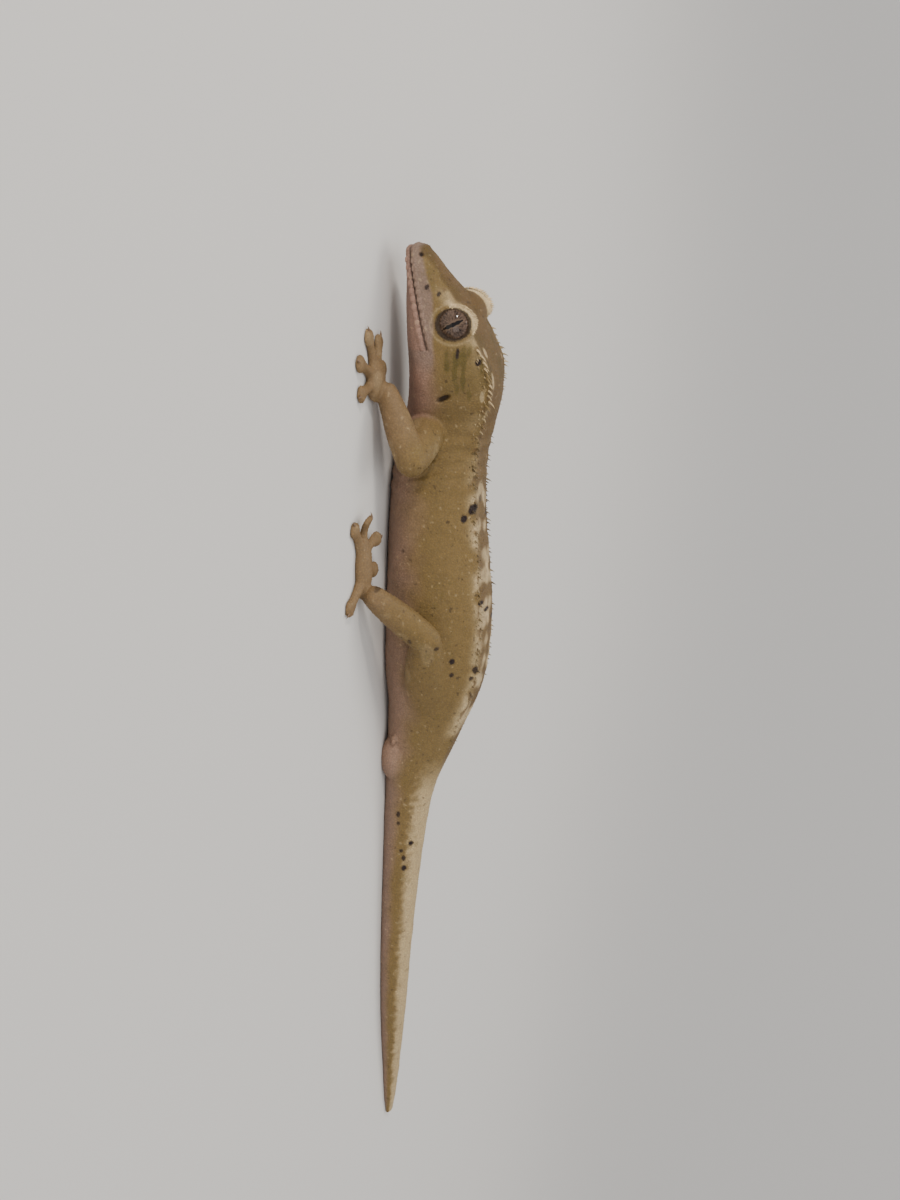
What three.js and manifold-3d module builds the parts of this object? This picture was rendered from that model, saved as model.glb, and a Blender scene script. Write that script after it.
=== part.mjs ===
// Crested gecko, an adult male at life size, as a still museum model: it lies flat with its head raised a
// little and turned to its left. Millimetres. +X runs towards the snout, +Y is the animal's left and +Z is up.
// The origin is on the ground under the middle of the belly.
import * as THREE from "three";
import { mergeVertices } from "three/addons/utils/BufferGeometryUtils.js";
import Module from "manifold-3d";

const wasm = await Module();
wasm.setup();

// Driving dimensions
const GAP = 0.3; // between two parts that meet
const SMALLEST_DETAIL = 0.02; // edges that change the surface by less than this are dropped
const SNOUT = 66; // distance along the spine from the origin to the tip of the snout
const TAIL_TIP = -156; // the same to the tip of the tail
const NECK_CUT = 21; // where the neck meets the torso
const HEAD_CUT = 30; // where the head meets the neck
const HIP_CUT = -33; // where the torso meets the hips
const TAIL_CUTS = [-63, -95, -127]; // where the tail starts, and where it is parted
const HEAD_TURN = 13; // degrees that the head is turned to the left
const EYE = { along: 51.6, out: 6.2, up: 15.9, radius: 3.8 };
const MOUTH_CORNER = { along: 47.3, up: 10.6 };
const SNOUT_MOUTH_UP = 5.6; // height of the mouth line at the tip of the snout

// Each row is a place along the spine and the size of the body there
const HALF_WIDTH = [
  [-156, 1.5], [-150, 2.1], [-140, 2.1], [-122, 3.0], [-93, 4.0], [-71, 4.8], [-60, 5.4], [-51, 6.6],
  [-42, 8.6], [-34, 11.2], [-22, 13.4], [-8, 13.4], [9, 12.0], [20, 10.2], [26, 9.7], [30, 10.3],
  [34, 11.3], [40, 12.0], [46, 11.2], [50, 10.0], [54, 8.5], [60, 6.2], [64, 4.6], [66, 3.3],
];
const TOP = [
  [-156, 1.4], [-150, 2.6], [-140, 4.0], [-122, 6.0], [-93, 8.0], [-71, 10.0], [-60, 12.0], [-50, 16.0],
  [-40, 20.2], [-32, 22.8], [-22, 23.7], [-12, 23.4], [0, 22.0], [9, 21.2], [20, 21.5], [28, 23.2],
  [34, 24.6], [40, 24.6], [46, 22.4], [50, 20.6], [54, 18.4], [60, 13.8], [64, 10.9], [66, 9.4],
];
const BOTTOM = [
  [-156, -0.3], [-60, -0.4], [-40, 0.2], [-30, -0.5], [6, -0.5], [16, 0.0], [24, 1.4], [32, 3.6],
  [40, 4.8], [46, 4.8], [54, 4.5], [60, 4.4], [66, 4.3],
];
const SIDE_UP = [
  [-156, 0.6], [-122, 2.8], [-60, 5.2], [-40, 8.6], [-20, 10.0], [9, 9.4], [26, 9.6], [40, 10.4],
  [60, 7.9], [66, 6.9],
];
const CREST_OUT = [
  [-60, 1.6], [-50, 3.0], [-40, 4.4], [-20, 6.0], [9, 5.6], [22, 5.8], [33, 6.8], [42, 7.2],
  [50, 6.8], [56, 5.2], [62, 3.2],
];
const CREST_RISE = [[-62, 0], [-50, 0.35], [9, 0.5], [22, 0.7], [33, 1.1], [48, 1.3], [56, 0.6], [61, 0]];
// 2 makes a slice round, and more makes it squarer
const FLATNESS = [[18, 2.1], [36, 2.25], [46, 2.5], [54, 2.6], [62, 2.2]];

// Smooth value of a table at a place, with the slope taken from the neighbouring rows
function at(table, s) {
  const last = table.length - 1;
  if (s <= table[0][0]) return table[0][1];
  if (s >= table[last][0]) return table[last][1];
  const i = table.findIndex((row) => row[0] > s) - 1;
  const slope = (k) => {
    const a = table[Math.max(k - 1, 0)];
    const b = table[Math.min(k + 1, last)];
    return (b[1] - a[1]) / (b[0] - a[0]);
  };
  const step = table[i + 1][0] - table[i][0];
  const t = (s - table[i][0]) / step;
  const [p, q] = [table[i][1], table[i + 1][1]];
  return (
    p * (1 + 2 * t) * (1 - t) ** 2 + q * t * t * (3 - 2 * t) +
    step * (slope(i) * t * (1 - t) ** 2 - slope(i + 1) * t * t * (1 - t))
  );
}

// The spine seen from above: its heading at a place, and the point reached by following it from the origin
const HEADING = [
  [TAIL_TIP, 14], [-130, 8], [-108, 0], [-80, -3], [-50, -1], [18, 0], [38, HEAD_TURN], [SNOUT, HEAD_TURN],
];
const heading = (s) => THREE.MathUtils.degToRad(at(HEADING, s));
const SPINE_STEP = 0.5;
function spine(s) {
  const steps = Math.max(1, Math.ceil(Math.abs(s) / SPINE_STEP));
  const point = new THREE.Vector3();
  for (let i = 0; i < steps; i++) {
    const turn = heading((s * (i + 0.5)) / steps);
    point.x += (Math.cos(turn) * s) / steps;
    point.y += (Math.sin(turn) * s) / steps;
  }
  return point;
}

// A point beside the spine: out is to the animal's left
function beside(s, out, up) {
  const turn = heading(s);
  return spine(s).add(new THREE.Vector3(-Math.sin(turn) * out, Math.cos(turn) * out, up));
}

// Solids
function solid(geometry) {
  const bare = geometry.index ? geometry.toNonIndexed() : geometry.clone();
  bare.deleteAttribute("normal");
  bare.deleteAttribute("uv");
  const merged = mergeVertices(bare, 1e-4);
  return new wasm.Manifold(
    new wasm.Mesh({
      numProp: 3,
      vertProperties: new Float32Array(merged.attributes.position.array),
      triVerts: new Uint32Array(merged.index.array),
    }),
  );
}

// A closed cylinder whose every vertex is placed by a rule: its share of the length, its angle round the
// cylinder, and 1 if it is on the wall or 0 on the axis
function warped(sides, rings, place) {
  const geometry = new THREE.CylinderGeometry(1, 1, 1, sides, rings);
  const position = geometry.attributes.position;
  const vertex = new THREE.Vector3();
  for (let i = 0; i < position.count; i++) {
    vertex.fromBufferAttribute(position, i);
    const placed = place(0.5 - vertex.y, Math.atan2(vertex.z, vertex.x), Math.hypot(vertex.x, vertex.z));
    position.setXYZ(i, placed.x, placed.y, placed.z);
  }
  return solid(geometry);
}

const power = (value, exponent) => Math.sign(value) * Math.abs(value) ** exponent;

// A slice of the body between two places on the spine, swollen by a margin
const FLESH_SIDES = 28;
const CREST_SHARPNESS = 26;
function crestAngle(s, width) {
  return Math.acos(Math.min(0.95, at(CREST_OUT, s) / width));
}
function skinPoint(s, angle, share, margin) {
  const width = at(HALF_WIDTH, s) + margin;
  const top = at(TOP, s) + margin;
  const bottom = at(BOTTOM, s) - margin;
  const side = at(SIDE_UP, s);
  const flatness = at(FLATNESS, s);
  const out = power(Math.cos(angle), 2 / flatness) * width;
  let up = side + power(Math.sin(angle), 2 / flatness) * (Math.sin(angle) > 0 ? top - side : side - bottom);
  const corner = crestAngle(s, width);
  const off = Math.min(Math.abs(angle - corner), Math.abs(Math.PI - angle - corner));
  up += at(CREST_RISE, s) * Math.exp(-off * off * CREST_SHARPNESS);
  const middle = side + (up - side) * share;
  return beside(s, out * share, Math.max(0, middle));
}
function fleshSlice(from, to, rings, margin = 0, sides = FLESH_SIDES) {
  return warped(sides, rings, (t, angle, share) => skinPoint(from + (to - from) * t, angle, share, margin));
}

// A spine or claw: a five-sided cone whose base is sunk under the skin
function spike(root, direction, length, radius, sides = 5) {
  const cone = new THREE.ConeGeometry(radius, length, sides).translate(0, length / 2, 0);
  cone.applyQuaternion(new THREE.Quaternion().setFromUnitVectors(new THREE.Vector3(0, 1, 0), direction));
  return solid(cone.translate(root.x, root.y, root.z));
}

const ball = (radius, across, down) => new THREE.SphereGeometry(radius, across, down);
const joined = (pieces) => wasm.Manifold.union(pieces);

// Only the largest closed surface of a solid, so that no loose scrap stays
function largest(made) {
  return made.decompose().sort((a, b) => b.volume() - a.volume())[0];
}

// The crest: two rows of spines from behind the brows to the hips, tallest at the crown
const CREST_LENGTH = [[HIP_CUT, 0.7], [0, 1.0], [NECK_CUT, 1.2], [33, 1.8], [45, 1.6]];
const CREST_STEP = 2.4;
const SPINE_SINK = 0.55;
function crest(from, to) {
  const spikes = [];
  const count = Math.floor((to - from - 1) / CREST_STEP);
  for (let i = 0; i < count; i++) {
    for (const side of [1, -1]) {
      const s = from + 1 + (i + 0.5 + 0.15 * Math.sin(i * 2.4 + side)) * CREST_STEP;
      const corner = crestAngle(s, at(HALF_WIDTH, s));
      const length = at(CREST_LENGTH, s) * (1 + 0.18 * Math.sin(i * 1.7 + side));
      const angle = side > 0 ? corner : Math.PI - corner;
      const lean = beside(s, 0, 0).sub(beside(s, -0.5 * side, 1)).negate().add(spine(s - 0.5).sub(spine(s)));
      const direction = lean.normalize();
      const root = skinPoint(s, angle, 1, 0).addScaledVector(direction, -SPINE_SINK);
      spikes.push(spike(root, direction, length + SPINE_SINK, 0.5));
    }
  }
  return spikes;
}

// Eye, lids and lashes
function eyeFrame(side) {
  const turn = heading(EYE.along);
  const ahead = new THREE.Vector3(Math.cos(turn), Math.sin(turn), 0);
  const out = new THREE.Vector3(-Math.sin(turn) * side, Math.cos(turn) * side, 0);
  const look = out.clone().addScaledVector(ahead, 0.22);
  look.z = 0.16;
  look.normalize();
  const forward = ahead.clone().addScaledVector(look, -ahead.dot(look)).normalize();
  const upward = new THREE.Vector3(0, 0, 1).addScaledVector(look, -look.z);
  upward.addScaledVector(forward, -upward.dot(forward)).normalize();
  return { centre: beside(EYE.along, EYE.out * side, EYE.up), look, forward, upward };
}
function eyeball(side, margin = 0) {
  const { centre } = eyeFrame(side);
  return solid(ball(EYE.radius + margin, 16, 11)).translate(centre.toArray());
}
const LID = { radius: 4.0, thickness: 0.8, offset: 1.5 };
const SOCKET = { radius: 5.0, depth: 2 }; // the flesh round the back of the eye
const LASHES = 8;
function lids(side) {
  const { centre, look, forward, upward } = eyeFrame(side);
  const ring = new THREE.TorusGeometry(LID.radius, LID.thickness, 6, 18);
  const turned = new THREE.Matrix4().makeBasis(forward, upward, forward.clone().cross(upward));
  const middle = centre.clone().addScaledVector(look, LID.offset);
  const pieces = [solid(ring.applyMatrix4(turned)).translate(middle.toArray())];
  const socket = centre.clone().addScaledVector(look, -SOCKET.depth);
  pieces.push(solid(ball(SOCKET.radius, 16, 11)).translate(socket.toArray()));
  for (let i = 0; i < LASHES; i++) {
    const angle = THREE.MathUtils.degToRad(28 + (i * 130) / (LASHES - 1));
    const around = forward.clone().multiplyScalar(Math.cos(angle)).addScaledVector(upward, Math.sin(angle));
    const direction = around.clone().addScaledVector(look, 0.55).addScaledVector(forward, -0.35).normalize();
    const root = middle.clone().addScaledVector(around, LID.radius + 0.2);
    const length = 1.5 + 0.9 * Math.sin((Math.PI * (i + 0.5)) / LASHES);
    pieces.push(spike(root, direction, length, 0.5));
  }
  return pieces;
}

// Half the width of the head at a height
function widthAt(s, up) {
  const [side, flatness] = [at(SIDE_UP, s), at(FLATNESS, s)];
  const reach = up > side ? at(TOP, s) - side : side - at(BOTTOM, s);
  return at(HALF_WIDTH, s) * Math.max(0, 1 - (Math.abs(up - side) / reach) ** flatness) ** (1 / flatness);
}

// Height of the mouth line at a place on the head
const mouthUp = (s) =>
  THREE.MathUtils.mapLinear(s, SNOUT, MOUTH_CORNER.along, SNOUT_MOUTH_UP, MOUTH_CORNER.up) -
  0.2 * Math.sin((Math.PI * (SNOUT - s)) / (SNOUT - MOUTH_CORNER.along));

// Lips: a soft roll above and below the mouth line
const LIP = { radius: 0.85, above: 0.62 };
function lip(side, above) {
  return warped(5, 10, (t, angle, share) => {
    const s = THREE.MathUtils.lerp(MOUTH_CORNER.along, SNOUT - 0.8, t);
    const up = mouthUp(s) + above;
    const radius = LIP.radius * share * Math.min(1, 3 * t + 0.35);
    const out = side * (widthAt(s, up) - 0.3) + Math.cos(angle) * radius;
    return beside(s, out, up + Math.sin(angle) * radius);
  });
}

// The thin cut that parts the jaw from the head: along the mouth line, then down behind its corner
function mouthCut() {
  const line = [];
  for (let s = SNOUT + 4; s > MOUTH_CORNER.along + 1; s -= 2) {
    line.push(new THREE.Vector2(s, mouthUp(Math.min(s, SNOUT))));
  }
  line.push(new THREE.Vector2(MOUTH_CORNER.along, MOUTH_CORNER.up));
  line.push(new THREE.Vector2(MOUTH_CORNER.along - 2.5, 5));
  line.push(new THREE.Vector2(MOUTH_CORNER.along - 3.5, -3));
  const lower = line.map((p, i) => {
    const along = line[Math.min(i + 1, line.length - 1)].clone().sub(line[Math.max(i - 1, 0)]).normalize();
    return new THREE.Vector2(p.x - along.y * GAP, p.y + along.x * GAP);
  });
  const sheet = new THREE.ExtrudeGeometry(new THREE.Shape([...line, ...lower.reverse()]), {
    depth: 40, steps: 1, bevelEnabled: false,
  });
  const position = sheet.attributes.position;
  for (let i = 0; i < position.count; i++) {
    const placed = beside(position.getX(i), 20 - position.getZ(i), position.getY(i));
    position.setXYZ(i, placed.x, placed.y, placed.z);
  }
  return solid(sheet);
}

// Nostrils and ears
const NOSTRIL = { along: SNOUT - 1, out: 3.4, up: 8.2, radius: 0.6 };
const EAR = { along: 36.1, up: 14.2, length: 1.9, height: 0.8, depth: 1.4 };
function pits(side) {
  const nostril = solid(ball(NOSTRIL.radius, 8, 6));
  const nose = beside(NOSTRIL.along, NOSTRIL.out * side, NOSTRIL.up);
  const ear = new THREE.SphereGeometry(1, 12, 8).scale(EAR.length, EAR.depth, EAR.height);
  ear.rotateY(THREE.MathUtils.degToRad(-28)).rotateZ(heading(EAR.along));
  const place = beside(EAR.along, widthAt(EAR.along, EAR.up) * side, EAR.up);
  return [nostril.translate(nose.toArray()), solid(ear).translate(place.toArray())];
}

function head() {
  const skull = fleshSlice(HEAD_CUT + GAP / 2, SNOUT, 20);
  const raised = [skull, ...crest(HEAD_CUT + 0.3, 46)];
  for (const side of [1, -1]) raised.push(...lids(side), lip(side, LIP.above), lip(side, -LIP.above));
  let whole = joined(raised);
  const cuts = [mouthCut()];
  for (const side of [1, -1]) cuts.push(eyeball(side, GAP), ...pits(side));
  whole = whole.subtract(joined(cuts));
  const [upper, lower] = whole.decompose().sort((a, b) => b.volume() - a.volume());
  return { upper, lower };
}

// Limbs: a tapered length of flesh with round ends and a belly of muscle
function limb(from, to, radiusFrom, radiusTo, muscle, margin = 0) {
  const axis = to.clone().sub(from);
  const length = axis.length();
  const turn = new THREE.Quaternion().setFromUnitVectors(new THREE.Vector3(0, 0, 1), axis.normalize());
  const [start, end] = [-radiusFrom - margin, length + radiusTo + margin];
  return warped(10, 9, (t, angle, share) => {
    const eased = (1 - Math.cos(Math.PI * t)) / 2;
    const along = start + (end - start) * eased;
    const middle = THREE.MathUtils.clamp(along / length, 0, 1);
    const full = radiusFrom + (radiusTo - radiusFrom) * middle + muscle * Math.sin(Math.PI * middle) + margin;
    const over = along < 0 ? along / start : along > length ? (along - length) / (end - length) : 0;
    const radius = full * Math.sqrt(Math.max(0, 1 - over * over)) * share;
    return new THREE.Vector3(Math.cos(angle) * radius, Math.sin(angle) * radius, along)
      .applyQuaternion(turn).add(from);
  });
}

// Places of each limb. The left ones are as the photograph shows them.
const point = (x, y, z) => new THREE.Vector3(x, y, z);
const ARMS = {
  left: {
    side: 1, turn: 0, root: point(27, 6.5, 9.5), bend: point(20.5, 20.5, 9.6), end: point(34.8, 18.5, 3.4),
    palm: point(37.6, 19.8, 0),
  },
  right: {
    side: -1, turn: -22, root: point(24, -6.5, 9.5), bend: point(14.5, -20, 9.2),
    end: point(26.6, -21, 3.4), palm: point(29.5, -22.4, 0),
  },
};
const LEGS = {
  left: {
    side: 1, turn: 0, root: point(-38.5, 5, 9.5), bend: point(-19.3, 17.8, 13.2), end: point(-8.4, 26.8, 3.8),
    palm: point(-2.2, 26.6, 0),
  },
  right: {
    side: -1, turn: -20, root: point(-40.5, -5, 9.5), bend: point(-26, -19, 12.6), end: point(-22, -29, 3.8),
    palm: point(-16.5, -30.5, 0),
  },
};
const ARM_RADIUS = { root: 4.4, bend: 3.3, end: 2.3 };
const LEG_RADIUS = { root: 5.2, bend: 3.3, end: 2.6 };

// Each toe runs from a root to a tip, both measured forwards and outwards from the middle of the palm. A
// third number at the tip is how far it is lifted off the ground.
const HAND = {
  length: 4.8, width: 4.1, height: 3.0,
  toes: [
    [[0.5, -1.5], [2.4, -8.0]],
    [[1.8, -1.2], [9.4, -4.2]],
    [[2.4, 0.4], [10.6, 4.2]],
    [[1.2, 1.8], [4.4, 10.8]],
    [[-0.8, 1.8], [-3.0, 9.6]],
  ],
};
const FOOT = {
  length: 7.0, width: 3.1, height: 3.0,
  toes: [
    [[0.0, -1.4], [-2.0, -8.0, 1.2]],
    [[3.4, -1.6], [5.8, -7.8, 2.0]],
    [[5.0, -0.2], [11.8, 0.8, 2.4]],
    [[4.2, 1.2], [10.4, 5.4]],
    [[-3.4, 1.6], [-8.4, 8.8]],
  ],
};
const TOE_HALF_WIDTH = [[0, 1.5], [0.3, 1.05], [0.55, 1.15], [0.8, 1.95], [0.93, 1.45], [1, 0.55]];
const TOE_HEIGHT = [[0, 2.3], [0.3, 1.8], [0.55, 1.55], [0.8, 1.5], [0.93, 1.3], [1, 0.9]];
const CLAW = { length: 1.5, radius: 0.36 };

function toe(root, tip) {
  const axis = tip.clone().sub(root);
  const across = new THREE.Vector3(-axis.y, axis.x, 0).normalize();
  const flesh = warped(8, 7, (t, angle, share) => {
    const height = at(TOE_HEIGHT, t);
    const up = height * (1.3 * (0.5 + 0.5 * Math.sin(angle)) - 0.3);
    const out = Math.cos(angle) * at(TOE_HALF_WIDTH, t) * share;
    const placed = root.clone().addScaledVector(axis, t).addScaledVector(across, out);
    return placed.setZ(tip.z * t * t + Math.max(0, height / 2 + (up - height / 2) * share));
  });
  const ahead = axis.clone().normalize();
  const clawRoot = tip.clone().addScaledVector(ahead, -0.5).setZ(tip.z * 0.9 + 0.7);
  return [flesh, spike(clawRoot, ahead.setZ(0.25).normalize(), CLAW.length, CLAW.radius)];
}

function paw(plan, place) {
  const turn = THREE.MathUtils.degToRad(place.turn);
  const ahead = point(Math.cos(turn), Math.sin(turn), 0);
  const out = point(-Math.sin(turn), Math.cos(turn), 0).multiplyScalar(place.side);
  const spot = ([f, o, lift = 0]) =>
    place.palm.clone().addScaledVector(ahead, f).addScaledVector(out, o).setZ(lift);
  const palm = new THREE.SphereGeometry(1, 16, 10).scale(plan.length, plan.width, plan.height * 0.62);
  palm.rotateZ(turn).translate(place.palm.x, place.palm.y, plan.height * 0.38);
  const pieces = [solid(palm).trimByPlane([0, 0, 1], 0)];
  for (const [root, tip] of plan.toes) pieces.push(...toe(spot(root), spot(tip)));
  return joined(pieces);
}

function limbParts(place, radius, plan, body) {
  const upper = limb(place.root, place.bend, radius.root, radius.bend, radius.root * 0.12);
  const lower = (margin) => limb(place.bend, place.end, radius.bend, radius.end, radius.bend * 0.12, margin);
  const before = place.bend.clone().sub(place.root).normalize();
  const after = place.end.clone().sub(place.bend).normalize();
  const across = before.add(after).normalize();
  const offset = across.dot(place.bend);
  const back = across.clone().negate();
  return {
    upper: largest(upper.trimByPlane(back.toArray(), GAP / 2 - offset).subtract(body)),
    lower: largest(lower(0).trimByPlane(across.toArray(), offset + GAP / 2).trimByPlane([0, 0, 1], 0)),
    paw: largest(paw(plan, place).subtract(lower(GAP))),
  };
}

// Hips: the swellings behind the vent that mark a male, and a spur beside each
const BULGE = { along: -53, out: 3.7, up: 2.7, radii: [5.6, 4.0, 3.4] };
function hips() {
  const pieces = [fleshSlice(TAIL_CUTS[0] + GAP / 2, HIP_CUT - GAP / 2, 10)];
  for (const side of [1, -1]) {
    const swelling = new THREE.SphereGeometry(1, 14, 10).scale(...BULGE.radii);
    pieces.push(solid(swelling).translate(beside(BULGE.along, BULGE.out * side, BULGE.up).toArray()));
    const outward = point(-0.5, side, 0.1).normalize();
    pieces.push(spike(beside(-47.5, 5.8 * side, 3.2), outward, 2.4, 0.9));
  }
  pieces.push(...crest(-46, HIP_CUT - 0.3));
  return largest(joined(pieces).trimByPlane([0, 0, 1], 0));
}

// Colours of the parts
const finish = (color, roughness) => new THREE.MeshStandardMaterial({ color, roughness, metalness: 0 });
const SKIN = finish(0x8a6f4a, 0.75);
const PALE = finish(0xa58a62, 0.72);
const EYE_FINISH = finish(0x3a2416, 0.12);

const gecko = new THREE.Group();
function add(name, made, material = SKIN) {
  const mesh = made.simplify(SMALLEST_DETAIL).getMesh();
  const geometry = new THREE.BufferGeometry();
  geometry.setAttribute("position", new THREE.BufferAttribute(new Float32Array(mesh.vertProperties), 3));
  geometry.setIndex(new THREE.BufferAttribute(new Uint32Array(mesh.triVerts), 1));
  geometry.computeVertexNormals();
  const part = new THREE.Mesh(geometry, material);
  part.name = name;
  gecko.add(part);
}

const { upper, lower } = head();
add("head", upper);
add("jaw", lower, PALE);
for (const [name, side] of [["left", 1], ["right", -1]]) add("eye_" + name, eyeball(side), EYE_FINISH);
const crested = (from, to, rings) =>
  largest(joined([fleshSlice(from + GAP / 2, to - GAP / 2, rings), ...crest(from, to)]));
add("neck", crested(NECK_CUT, HEAD_CUT, 4));
add("torso", crested(HIP_CUT, NECK_CUT, 14));
add("hips", hips());
add("tail_base", fleshSlice(TAIL_CUTS[1] + GAP / 2, TAIL_CUTS[0] - GAP / 2, 8, 0, 20));
add("tail_middle", fleshSlice(TAIL_CUTS[2] + GAP / 2, TAIL_CUTS[1] - GAP / 2, 8, 0, 18));
add("tail_tip", fleshSlice(TAIL_TIP, TAIL_CUTS[2] - GAP / 2, 12, 0, 16));
const bodyClear = fleshSlice(TAIL_CUTS[0], SNOUT, 60, GAP);
for (const side of ["left", "right"]) {
  const arm = limbParts(ARMS[side], ARM_RADIUS, HAND, bodyClear);
  add("upper_arm_" + side, arm.upper);
  add("forearm_" + side, arm.lower);
  add("hand_" + side, arm.paw, PALE);
  const leg = limbParts(LEGS[side], LEG_RADIUS, FOOT, bodyClear);
  add("thigh_" + side, leg.upper);
  add("shin_" + side, leg.lower);
  add("foot_" + side, leg.paw, PALE);
}

export default gecko;
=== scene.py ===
"""Crested gecko, an adult male, as a still museum model: the skin, scales, spines, eyes and claws.

Sizes in the tables are millimetres. +X runs towards the snout, +Y to the animal's left and +Z up.
"""

import bpy
import numpy as np
from mathutils import Matrix, Vector, kdtree, noise


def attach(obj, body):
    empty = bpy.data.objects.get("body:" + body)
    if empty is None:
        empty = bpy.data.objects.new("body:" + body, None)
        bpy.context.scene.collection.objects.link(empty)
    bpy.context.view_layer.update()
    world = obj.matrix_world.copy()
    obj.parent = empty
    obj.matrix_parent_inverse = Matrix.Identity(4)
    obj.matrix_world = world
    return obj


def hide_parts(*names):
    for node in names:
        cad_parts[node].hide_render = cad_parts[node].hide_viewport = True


MM = 0.001

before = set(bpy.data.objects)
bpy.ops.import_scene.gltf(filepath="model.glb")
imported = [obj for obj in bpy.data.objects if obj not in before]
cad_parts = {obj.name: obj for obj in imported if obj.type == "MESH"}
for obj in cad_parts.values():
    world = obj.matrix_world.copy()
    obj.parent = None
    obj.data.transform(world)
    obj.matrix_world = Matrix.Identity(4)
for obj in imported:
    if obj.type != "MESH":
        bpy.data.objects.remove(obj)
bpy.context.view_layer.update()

# Camera: it looks from the animal's left, a little from above, and is rolled so that the snout is up.
# Degrees for raised, yaw and roll, and millimetres for the rest.
CAMERA = {
    "distance": 296.9,
    "raised": 14.1,
    "level_with": 71,
    "aimed_at": -15.4,
    "aside": 13.4,
    "yaw": 2.4,
    "roll": 1.1,
}
LENS_TO_HEIGHT = 1300 / 1200
SENSOR = 36  # the camera's own millimetres
NEAREST = 0.01  # metres


def aim(camera, place, target, up):
    """Turn the camera from place to target with the given direction as near upwards as it goes."""
    forward = (target - place).normalized()
    right = forward.cross(up).normalized()
    above = right.cross(forward)
    turned = Matrix((right, above, -forward)).transposed().to_4x4()
    camera.matrix_world = Matrix.Translation(place) @ turned


def add(name, data):
    """A new object in the scene."""
    made = bpy.data.objects.new(name, data)
    bpy.context.collection.objects.link(made)
    return made


def make_camera():
    """The photograph's view."""
    data = bpy.data.cameras.new("camera")
    camera = add("camera", data)
    data.sensor_width = SENSOR
    data.lens = SENSOR * LENS_TO_HEIGHT
    data.clip_start = NEAREST
    raised = np.radians(CAMERA["raised"])
    outward = Vector((0, np.cos(raised), np.sin(raised)))
    aside = Vector((0, -np.sin(raised), np.cos(raised))) * CAMERA["aside"]
    place = Vector((CAMERA["level_with"], 0, 0)) + outward * CAMERA["distance"] + aside
    target = Vector((CAMERA["aimed_at"], 0, 0)) + aside
    yaw = Matrix.Rotation(np.radians(CAMERA["yaw"]), 3, "Z")
    ahead = target - place
    up = Matrix.Rotation(np.radians(-CAMERA["roll"]), 3, ahead) @ Vector((1, 0, 0))
    aim(camera, yaw @ place * MM, yaw @ target * MM, yaw @ up)
    bpy.context.scene.camera = camera


make_camera()

# The body: each row of a table is a place along the spine and the size there
SNOUT = 66
TAIL_TIP = -156
HALF_WIDTH = [
    (-156, 1.5), (-150, 2.1), (-140, 2.1), (-122, 3.0), (-93, 4.0), (-71, 4.8), (-60, 5.4), (-51, 6.6),
    (-42, 8.6), (-34, 11.2), (-22, 13.4), (-8, 13.4), (9, 12.0), (20, 10.2), (26, 9.7), (30, 10.3),
    (34, 11.3), (40, 12.0), (46, 11.2), (50, 10.0), (54, 8.5), (60, 6.2), (64, 4.6), (66, 3.3),
]
TOP = [
    (-156, 1.4), (-150, 2.6), (-140, 4.0), (-122, 6.0), (-93, 8.0), (-71, 10.0), (-60, 12.0), (-50, 16.0),
    (-40, 20.2), (-32, 22.8), (-22, 23.7), (-12, 23.4), (0, 22.0), (9, 21.2), (20, 21.5), (28, 23.2),
    (34, 24.6), (40, 24.6), (46, 22.4), (50, 20.6), (54, 18.4), (60, 13.8), (64, 10.9), (66, 9.4),
]
BOTTOM = [
    (-156, -0.3), (-60, -0.4), (-40, 0.2), (-30, -0.5), (6, -0.5), (16, 0.0), (24, 1.4), (32, 3.6),
    (40, 4.8), (46, 4.8), (54, 4.5), (60, 4.4), (66, 4.3),
]
SIDE_UP = [
    (-156, 0.6), (-122, 2.8), (-60, 5.2), (-40, 8.6), (-20, 10.0), (9, 9.4), (26, 9.6), (40, 10.4),
    (60, 7.9), (66, 6.9),
]
CREST_OUT = [
    (-60, 1.6), (-50, 3.0), (-40, 4.4), (-20, 6.0), (9, 5.6), (22, 5.8), (33, 6.8), (42, 7.2),
    (50, 6.8), (56, 5.2), (62, 3.2),
]
CREST_RISE = [(-62, 0), (-50, 0.35), (9, 0.5), (22, 0.7), (33, 1.1), (48, 1.3), (56, 0.6), (61, 0)]
HEADING = [
    (TAIL_TIP, 14), (-130, 8), (-108, 0), (-80, -3), (-50, -1), (18, 0), (38, 13), (SNOUT, 13),
]
FLATNESS = [(18, 2.1), (36, 2.25), (46, 2.5), (54, 2.6), (62, 2.2)]  # 2 is round, and more is squarer
CREST_SHARPNESS = 26


def at(table, s):
    """Smooth value of a table at places along the spine, with each slope taken from the neighbouring rows."""
    rows = np.array(table, float)
    x, y = rows[:, 0], rows[:, 1]
    slope = np.empty(len(x))
    for k in range(len(x)):
        low, high = max(k - 1, 0), min(k + 1, len(x) - 1)
        slope[k] = (y[high] - y[low]) / (x[high] - x[low])
    s = np.clip(np.asarray(s, float), x[0], x[-1])
    i = np.clip(np.searchsorted(x, s, side="right") - 1, 0, len(x) - 2)
    step = x[i + 1] - x[i]
    t = (s - x[i]) / step
    ends = y[i] * (1 + 2 * t) * (1 - t) ** 2 + y[i + 1] * t * t * (3 - 2 * t)
    return ends + step * (slope[i] * t * (1 - t) ** 2 - slope[i + 1] * t * t * (1 - t))


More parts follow.
